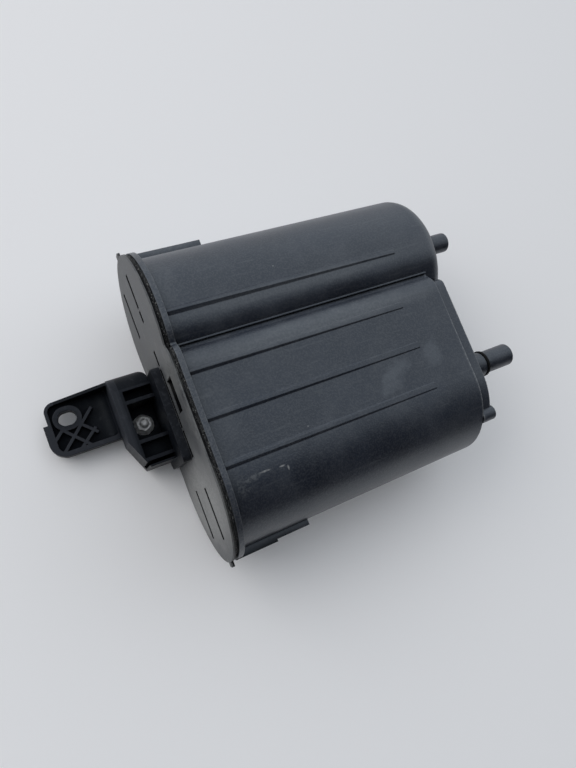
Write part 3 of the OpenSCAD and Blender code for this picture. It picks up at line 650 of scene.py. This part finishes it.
def weldLine(path):
    # the lobe's arc meets the corner's arc in the valley
    gap = Vector((path["lobeY"] - path["cornerY"], -path["cornerZ"]))
    along = (path["cornerR"] ** 2 - path["lobeR"] ** 2 + gap.length ** 2) / (2 * gap.length)
    rise = math.sqrt(path["cornerR"] ** 2 - along ** 2)
    meet = Vector((path["cornerY"], path["cornerZ"])) + gap.normalized() * along
    meet += Vector((-gap.y, gap.x)).normalized() * rise
    fromLobe = math.atan2(meet.y, meet.x - path["lobeY"])
    fromCorner = math.atan2(meet.y - path["cornerZ"], meet.x - path["cornerY"])
    half = []
    arcs = (((path["lobeY"], 0.0), path["lobeR"], 0.0, fromLobe),
            ((path["cornerY"], path["cornerZ"]), path["cornerR"], fromCorner, math.pi / 2),
            ((-path["lobeY"], 0.0), path["lobeR"], math.pi / 2, math.pi))
    for (y, z), radius, start, end in arcs:
        count = max(path["fewestSteps"], int(abs(end - start) * radius / path["step"]))
        for i in range(count + 1):
            angle = start + (end - start) * i / count
            half.append((y + radius * math.cos(angle), z + radius * math.sin(angle)))
    whole = half + [(y, -z) for y, z in reversed(half[1:-1])]
    points = [Vector((path["x"], y, z + path["middleZ"])) for y, z in whole]
    line = bpy.data.meshes.new("weldLine")
    line.from_pydata(points, [(i, (i + 1) % len(points)) for i in range(len(points))], [])
    return line


def newTree(name, inputs):
    tree = bpy.data.node_groups.new(name, "GeometryNodeTree")
    tree.interface.new_socket("Geometry", in_out="INPUT", socket_type="NodeSocketGeometry")
    addInputs(tree, inputs)
    tree.interface.new_socket("Finish", in_out="INPUT", socket_type="NodeSocketMaterial")
    tree.interface.new_socket("Geometry", in_out="OUTPUT", socket_type="NodeSocketGeometry")
    return tree, tree.nodes.new("NodeGroupInput").outputs, tree.nodes.new("NodeGroupOutput").inputs


def evenCurve(tree, line, mode, label, amount):
    curve = addNode(tree, "GeometryNodeMeshToCurve")
    even = addNode(tree, "GeometryNodeResampleCurve", mode=mode)
    tree.links.new(line, curve.inputs["Mesh"])
    tree.links.new(curve.outputs[0], even.inputs["Curve"])
    tree.links.new(amount, even.inputs[label])
    return even.outputs[0]


def movePoints(tree, geometry, offset):
    moved = addNode(tree, "GeometryNodeSetPosition")
    tree.links.new(geometry, moved.inputs["Geometry"])
    tree.links.new(offset, moved.inputs["Offset"])
    return moved.outputs[0]


def noiseOffset(tree, noise, amount):
    return vectorNode(tree, "SCALE", vectorNode(tree, "SUBTRACT", noise["Color"], (0.5, 0.5, 0.5)), amount)


def makeReal(tree, geometry):
    real = addNode(tree, "GeometryNodeRealizeInstances")
    tree.links.new(geometry, real.inputs[0])
    return real.outputs[0]


def endTree(tree, geometry, given, put):
    finish = addNode(tree, "GeometryNodeSetMaterial")
    tree.links.new(makeReal(tree, geometry), finish.inputs["Geometry"])
    tree.links.new(given["Finish"], finish.inputs["Material"])
    tree.links.new(finish.outputs[0], put["Geometry"])


def bakeNodes(name, mesh, tree, values):
    carrier = bpy.data.objects.new(name + "Carrier", mesh)
    scene.collection.objects.link(carrier)
    modifier = carrier.modifiers.new("nodes", "NODES")
    modifier.node_group = tree
    for item in tree.interface.items_tree:
        if item.in_out == "INPUT" and item.name in values:
            modifier[item.identifier] = values[item.name]
    made = carrier.evaluated_get(bpy.context.evaluated_depsgraph_get())
    result = bpy.data.meshes.new_from_object(made)
    carrier.modifiers.clear()
    bpy.data.objects.remove(carrier)
    return result


# ragged flash along the weld
flashPlan = {
    "spacing": 0.0006,
    "wander": 0.0006,
    "wanderScale": 420.0,
    "wanderDetail": 3.0,
    "thickness": 0.0005,
    "lumpScale": 900.0,
    "lumpFade": (0.3, 0.7),
    "lumpSize": (0.35, 1.5),
    "sides": 6,
}


def makeFlashTree(plan):
    tree, given, put = newTree("weldFlash", {"Spacing": 0.0006, "Wander": 0.0005, "Thickness": 0.0004})
    even = evenCurve(tree, given["Geometry"], "LENGTH", "Length", given["Spacing"])
    place = addNode(tree, "GeometryNodeInputPosition").outputs[0]
    ragged = noiseNode(tree, place, plan["wanderScale"], plan["wanderDetail"])
    lumps = noiseNode(tree, place, plan["lumpScale"])
    profile = addNode(tree, "GeometryNodeCurvePrimitiveCircle")
    profile.inputs["Resolution"].default_value = plan["sides"]
    tree.links.new(given["Thickness"], profile.inputs["Radius"])
    tube = addNode(tree, "GeometryNodeCurveToMesh")
    tree.links.new(movePoints(tree, even, noiseOffset(tree, ragged, given["Wander"])), tube.inputs["Curve"])
    tree.links.new(profile.outputs[0], tube.inputs["Profile Curve"])
    tree.links.new(rampNode(tree, lumps["Fac"], *plan["lumpFade"], *plan["lumpSize"]), tube.inputs["Scale"])
    endTree(tree, tube.outputs[0], given, put)
    return tree


def makeWeldFlash(plan, path):
    mesh = bakeNodes("weldFlash", weldLine(path), makeFlashTree(plan), {
        "Spacing": plan["spacing"], "Wander": plan["wander"], "Thickness": plan["thickness"],
        "Finish": weldFlashPlastic})
    for face in mesh.polygons:
        face.use_smooth = True
    keepPiece("weldFlash", mesh, weldFlashPlastic)
    print("weld flash made with", len(mesh.polygons), "faces")


# loose crumbs that the weld pressed out, along the same path
crumbPlan = {
    "count": 760,
    "reach": (0.0009, 0.0003, 0.0003),
    "smallest": 0.00016,
    "largest": 0.00048,
    "turn": (6.28, 6.28, 6.28),
    "dent": 0.0007,
    "dentScale": 1800.0,
    "seed": 7,
}


def makeCrumbTree(plan):
    tree, given, put = newTree("weldCrumbs", {
        "Count": 500, "Reach": (0.001, 0.001, 0.001), "Smallest": 0.0001, "Largest": 0.0004, "Seed": 1})
    even = evenCurve(tree, given["Geometry"], "COUNT", "Count", given["Count"])
    scatter = addNode(tree, "FunctionNodeRandomValue", data_type="FLOAT_VECTOR")
    tree.links.new(vectorNode(tree, "SCALE", given["Reach"], -1.0), scatter.inputs[0])
    tree.links.new(given["Reach"], scatter.inputs[1])
    size = addNode(tree, "FunctionNodeRandomValue", data_type="FLOAT")
    tree.links.new(given["Smallest"], size.inputs[2])
    tree.links.new(given["Largest"], size.inputs[3])
    turn = addNode(tree, "FunctionNodeRandomValue", data_type="FLOAT_VECTOR")
    turn.inputs[1].default_value = plan["turn"]
    for chance in (scatter, size, turn):
        tree.links.new(given["Seed"], chance.inputs["Seed"])
    lump = addNode(tree, "GeometryNodeMeshIcoSphere")
    lump.inputs["Subdivisions"].default_value = 1
    spread = addNode(tree, "GeometryNodeInstanceOnPoints")
    tree.links.new(movePoints(tree, even, scatter.outputs[0]), spread.inputs["Points"])
    tree.links.new(lump.outputs[0], spread.inputs["Instance"])
    tree.links.new(turn.outputs[0], spread.inputs["Rotation"])
    tree.links.new(size.outputs[1], spread.inputs["Scale"])
    dents = noiseNode(tree, addNode(tree, "GeometryNodeInputPosition").outputs[0], plan["dentScale"])
    dented = movePoints(tree, makeReal(tree, spread.outputs[0]), noiseOffset(tree, dents, plan["dent"]))
    endTree(tree, dented, given, put)
    return tree


def makeCrumbs(plan, path):
    mesh = bakeNodes("weldCrumbs", weldLine(path), makeCrumbTree(plan), {
        "Count": plan["count"], "Reach": plan["reach"], "Smallest": plan["smallest"], "Largest": plan["largest"],
        "Seed": plan["seed"], "Finish": crumbPlastic})
    keepPiece("weldCrumbs", mesh, crumbPlastic)
    print("weld crumbs made with", len(mesh.polygons), "faces")


makeWeldFlash(flashPlan, weldPath)
makeCrumbs(crumbPlan, weldPath)


# rounds turned about an axis: rows of (height, radius at angle)
def turnedMesh(name, rows, sides, axis, closed):
    mesh = bpy.data.meshes.new(name)
    shape = bmesh.new()
    rings = []
    for height, radiusAt in rows:
        ring = []
        for i in range(sides):
            angle = 2 * math.pi * i / sides
            radius = radiusAt(angle)
            ring.append(shape.verts.new((radius * math.cos(angle), radius * math.sin(angle), height)))
        rings.append(ring)
    pairs = list(zip(rings, rings[1:])) + ([(rings[-1], rings[0])] if closed else [])
    for low, high in pairs:
        for i in range(sides):
            j = (i + 1) % sides
            shape.faces.new((low[i], low[j], high[j], high[i]))
    if not closed:
        shape.faces.new(list(reversed(rings[0])))
        shape.faces.new(rings[-1])
    bmesh.ops.recalc_face_normals(shape, faces=shape.faces)
    shape.transform(axis)
    shape.to_mesh(mesh)
    shape.free()
    for face in mesh.polygons:
        face.use_smooth = True
    return mesh


def plainRow(height, radius):
    return height, lambda angle: radius


# upright axis through the middle of a box, and the box's height
def uprightAxis(box):
    low, high = box
    return Matrix.Translation(((low.x + high.x) / 2, (low.y + high.y) / 2, low.z)), high.z - low.z


studShape = {
    "r": 0.002,
    "pitch": 0.0007,
    "cut": 0.00022,
    "rowsPerPitch": 10,
    "plainLen": 0.0058,
    "tip": 0.0009,
    "tipRows": 6,
    "tipBend": 0.85,
    "headR": 0.004,
    "headT": 0.0016,
    "headEdge": 0.0003,
    "sides": 40,
}


def makeStud(shape):
    axis, length = uprightAxis(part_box("bracket_stud"))
    rows = [plainRow(0.0, shape["headR"] - shape["headEdge"]), plainRow(shape["headEdge"], shape["headR"]),
            plainRow(shape["headT"], shape["headR"]), plainRow(shape["headT"], shape["r"]),
            plainRow(shape["plainLen"], shape["r"])]
    top = length - shape["tip"]
    count = int((top - shape["plainLen"]) / shape["pitch"] * shape["rowsPerPitch"])
    for i in range(1, count + 1):
        z = shape["plainLen"] + (top - shape["plainLen"]) * i / count

        def threadAt(angle, z=z):
            phase = (z / shape["pitch"] - angle / (2 * math.pi)) % 1.0
            return shape["r"] - shape["cut"] * (1.0 - abs(2.0 * phase - 1.0))
        rows.append((z, threadAt))
    for i in range(1, shape["tipRows"]):
        turn = math.pi / 2 * i / shape["tipRows"]
        radius = (shape["r"] - shape["cut"]) * math.cos(turn * shape["tipBend"])
        rows.append(plainRow(top + shape["tip"] * math.sin(turn), radius))
    mesh = turnedMesh("threadedStud", rows, shape["sides"], axis, False)
    keepPiece("threadedStud", mesh, zincPlate, ("bracket_stud",))


nutShape = {
    "flangeR": 0.0047,
    "flangeT": 0.0012,
    "flangeEdge": 0.0002,
    "flangeKnee": 0.55,     # share of the flange's thickness with an upright rim
    "flare": 1.02,
    "flats": 0.007,
    "hexStart": 0.0001,
    "chamfer": 0.0005,
    "chamferKnee": 0.4,     # share of the chamfer above its bend
    "topShare": 0.97,
    "bore": 0.00205,
    "boreEdge": 0.0003,
    "sides": 72,
}


def makeNut(shape):
    axis, height = uprightAxis(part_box("flange_nut"))
    flat = shape["flats"] / 2
    point = flat / math.cos(math.pi / 6)

    def hexRow(z, limit):
        def radiusAt(angle):
            inSide = (angle + math.pi / 6) % (math.pi / 3) - math.pi / 6
            return min(flat / math.cos(inSide), limit)
        return z, radiusAt
    rows = [plainRow(0.0, shape["bore"]), plainRow(0.0, shape["flangeR"] - shape["flangeEdge"]),
            plainRow(shape["flangeEdge"], shape["flangeR"]),
            plainRow(shape["flangeT"] * shape["flangeKnee"], shape["flangeR"]),
            plainRow(shape["flangeT"], point * shape["flare"]), hexRow(shape["flangeT"] + shape["hexStart"], point),
            hexRow(height - shape["chamfer"], point),
            hexRow(height - shape["chamfer"] * shape["chamferKnee"], (point + flat) / 2),
            hexRow(height, flat * shape["topShare"]), plainRow(height, shape["bore"] + shape["boreEdge"]),
            plainRow(height - shape["boreEdge"], shape["bore"])]
    mesh = turnedMesh("hexNut", rows, shape["sides"], axis, True)
    keepPiece("hexNut", mesh, zincPlate, ("flange_nut",))


washerShape = {"outer": 0.0052, "inner": 0.00205, "edge": 0.00025, "sides": 64}


def makeWasher(shape):
    axis, height = uprightAxis(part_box("stud_washer"))
    edge = shape["edge"]
    rows = [plainRow(0.0, shape["inner"]), plainRow(0.0, shape["outer"] - edge), plainRow(edge, shape["outer"]),
            plainRow(height - edge, shape["outer"]), plainRow(height, shape["outer"] - edge),
            plainRow(height, shape["inner"] + edge), plainRow(height - edge, shape["inner"])]
    mesh = turnedMesh("flatWasher", rows, shape["sides"], axis, True)
    keepPiece("flatWasher", mesh, zincPlate, ("stud_washer",))


ringShape = {"outer": 0.0069, "inner": 0.0061, "round": 0.00035, "roundRows": 5, "sides": 64}


def makeRing(shape):
    low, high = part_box("port_ring")
    middle = Matrix.Translation((low.x, (low.y + high.y) / 2, (low.z + high.z) / 2))
    axis = middle @ Matrix.Rotation(math.pi / 2, 4, "Y")
    width = high.x - low.x
    bend = shape["round"]
    rows = [plainRow(0.0, shape["inner"]), plainRow(0.0, shape["outer"] - bend)]
    for corner, start in ((bend, -math.pi / 2), (width - bend, 0.0)):
        for i in range(1, shape["roundRows"] + 1):
            turn = start + math.pi / 2 * i / shape["roundRows"]
            rows.append(plainRow(corner + bend * math.sin(turn), shape["outer"] - bend + bend * math.cos(turn)))
    rows.append(plainRow(width, shape["inner"]))
    mesh = turnedMesh("nippleRing", rows, shape["sides"], axis, True)
    keepPiece("nippleRing", mesh, sealRubber, ("port_ring",))


makeStud(studShape)
makeNut(nutShape)
makeWasher(washerShape)
makeRing(ringShape)
print("fasteners and ring made")


# pale floor
floorFinish = {"half": 3.0, "colour": (0.935, 0.915, 0.915), "roughness": 0.75}


def makeFloor(finish):
    mesh = bpy.data.meshes.new("floor")
    half = finish["half"]
    mesh.from_pydata([(-half, -half, 0), (half, -half, 0), (half, half, 0), (-half, half, 0)], [], [(0, 1, 2, 3)])
    material, _, shader = newMaterial("floorPaper", finish["roughness"])
    shader.inputs["Base Color"].default_value = (*finish["colour"], 1.0)
    mesh.materials.append(material)
    floor = bpy.data.objects.new("floor", mesh)
    scene.collection.objects.link(floor)
    print("floor laid")


makeFloor(floorFinish)


# a bright cool sky above and behind, dim and warmer towards the front, and a window beyond the cap end
lightPlan = {
    "bright": (0.88, 0.94, 1.0),
    "dim": (0.045, 0.042, 0.04),
    "turn": (-0.6, 0.25),    # where the sky goes from dim to bright, along Y
    "window": {"place": (-1.0, 0.9, 1.1), "aim": (0, 0, 0.04), "size": (1.2, 1.0), "power": 8.0,
               "colour": (1.0, 0.98, 0.96)},
}


def makeLights(plan):
    window = plan["window"]
    data = bpy.data.lights.new("windowLight", "AREA")
    data.shape = "RECTANGLE"
    data.size, data.size_y = window["size"]
    data.energy = window["power"]
    data.color = window["colour"]
    light = bpy.data.objects.new("windowLight", data)
    light.location = window["place"]
    light.rotation_mode = "QUATERNION"
    light.rotation_quaternion = (Vector(window["aim"]) - Vector(window["place"])).to_track_quat("-Z", "Y")
    scene.collection.objects.link(light)

    world = bpy.data.worlds.new("sky")
    world.use_nodes = True
    tree = world.node_tree
    split = addNode(tree, "ShaderNodeSeparateXYZ")
    tree.links.new(addNode(tree, "ShaderNodeTexCoord").outputs["Generated"], split.inputs[0])
    colour = mixColour(tree, rampNode(tree, split.outputs["Y"], *plan["turn"]), plan["dim"], plan["bright"])
    tree.links.new(colour, tree.nodes["Background"].inputs["Color"])
    scene.world = world
    print("lights set")


makeLights(lightPlan)
